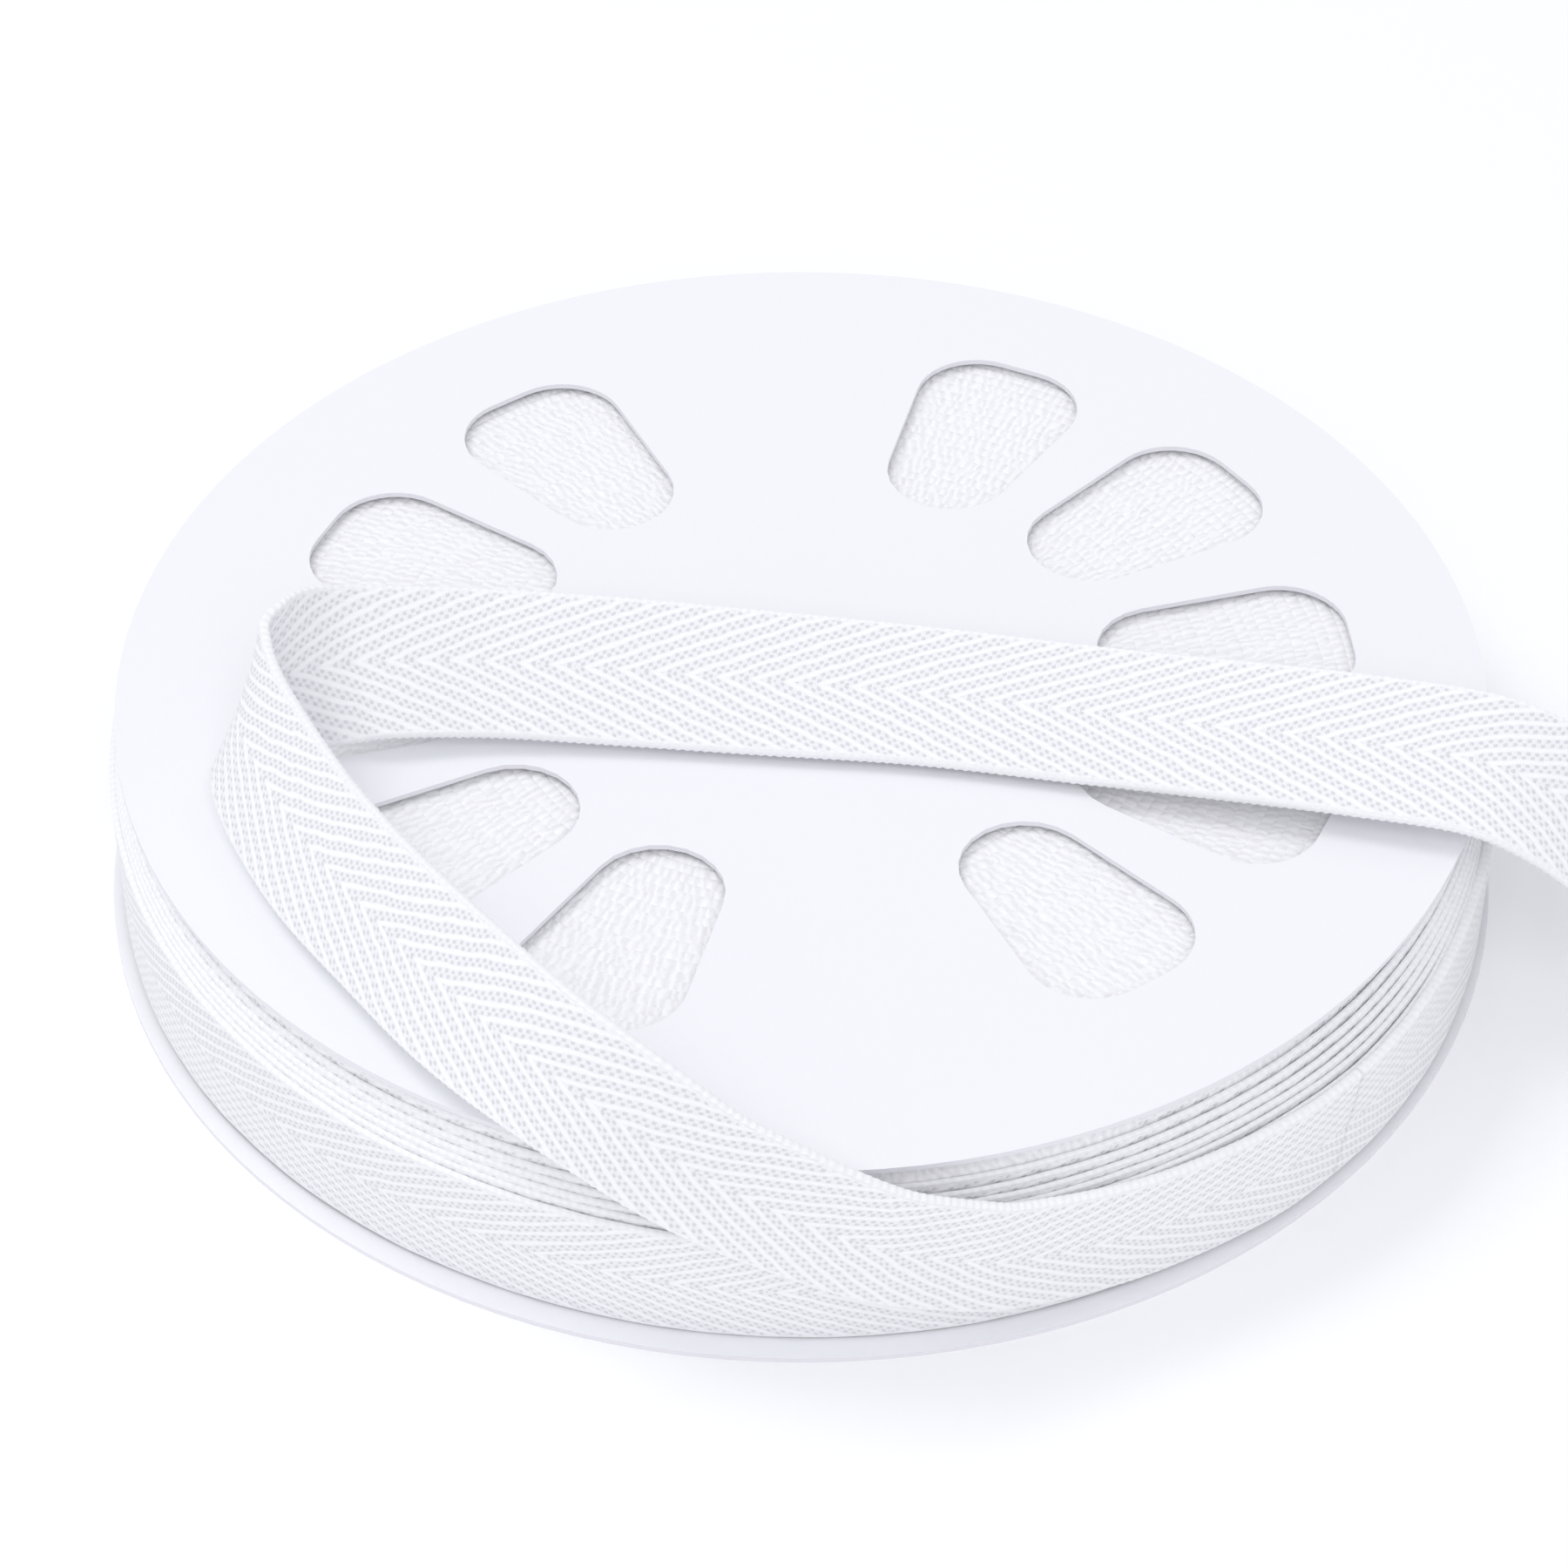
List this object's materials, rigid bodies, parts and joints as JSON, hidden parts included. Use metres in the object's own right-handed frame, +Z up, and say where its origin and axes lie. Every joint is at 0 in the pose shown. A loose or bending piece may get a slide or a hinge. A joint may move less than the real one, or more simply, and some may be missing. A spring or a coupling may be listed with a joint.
{
  "type": "twill tape wound on a card reel",
  "caption": "Narrow white herringbone twill tape wound on a flat reel of two card discs with tapered windows, its loose end looped over the top.",
  "frame": {"origin": "middle of the lower disc's underside, on the surface that the reel lies on", "axes": "+Z up along the reel's axis, +X to the right, where the loose end runs off, +Y to the back"},
  "size_m": [0.1538, 0.1148, 0.0327],
  "materials": {
    "card": "smooth white card",
    "cotton_tape": "herringbone twill"
  },
  "bodies": {
    "root": {"flange_bottom": "card", "flange_top": "card", "tape_winding": "cotton_tape", "tape_end": "cotton_tape"}
  },
  "joints": []
}
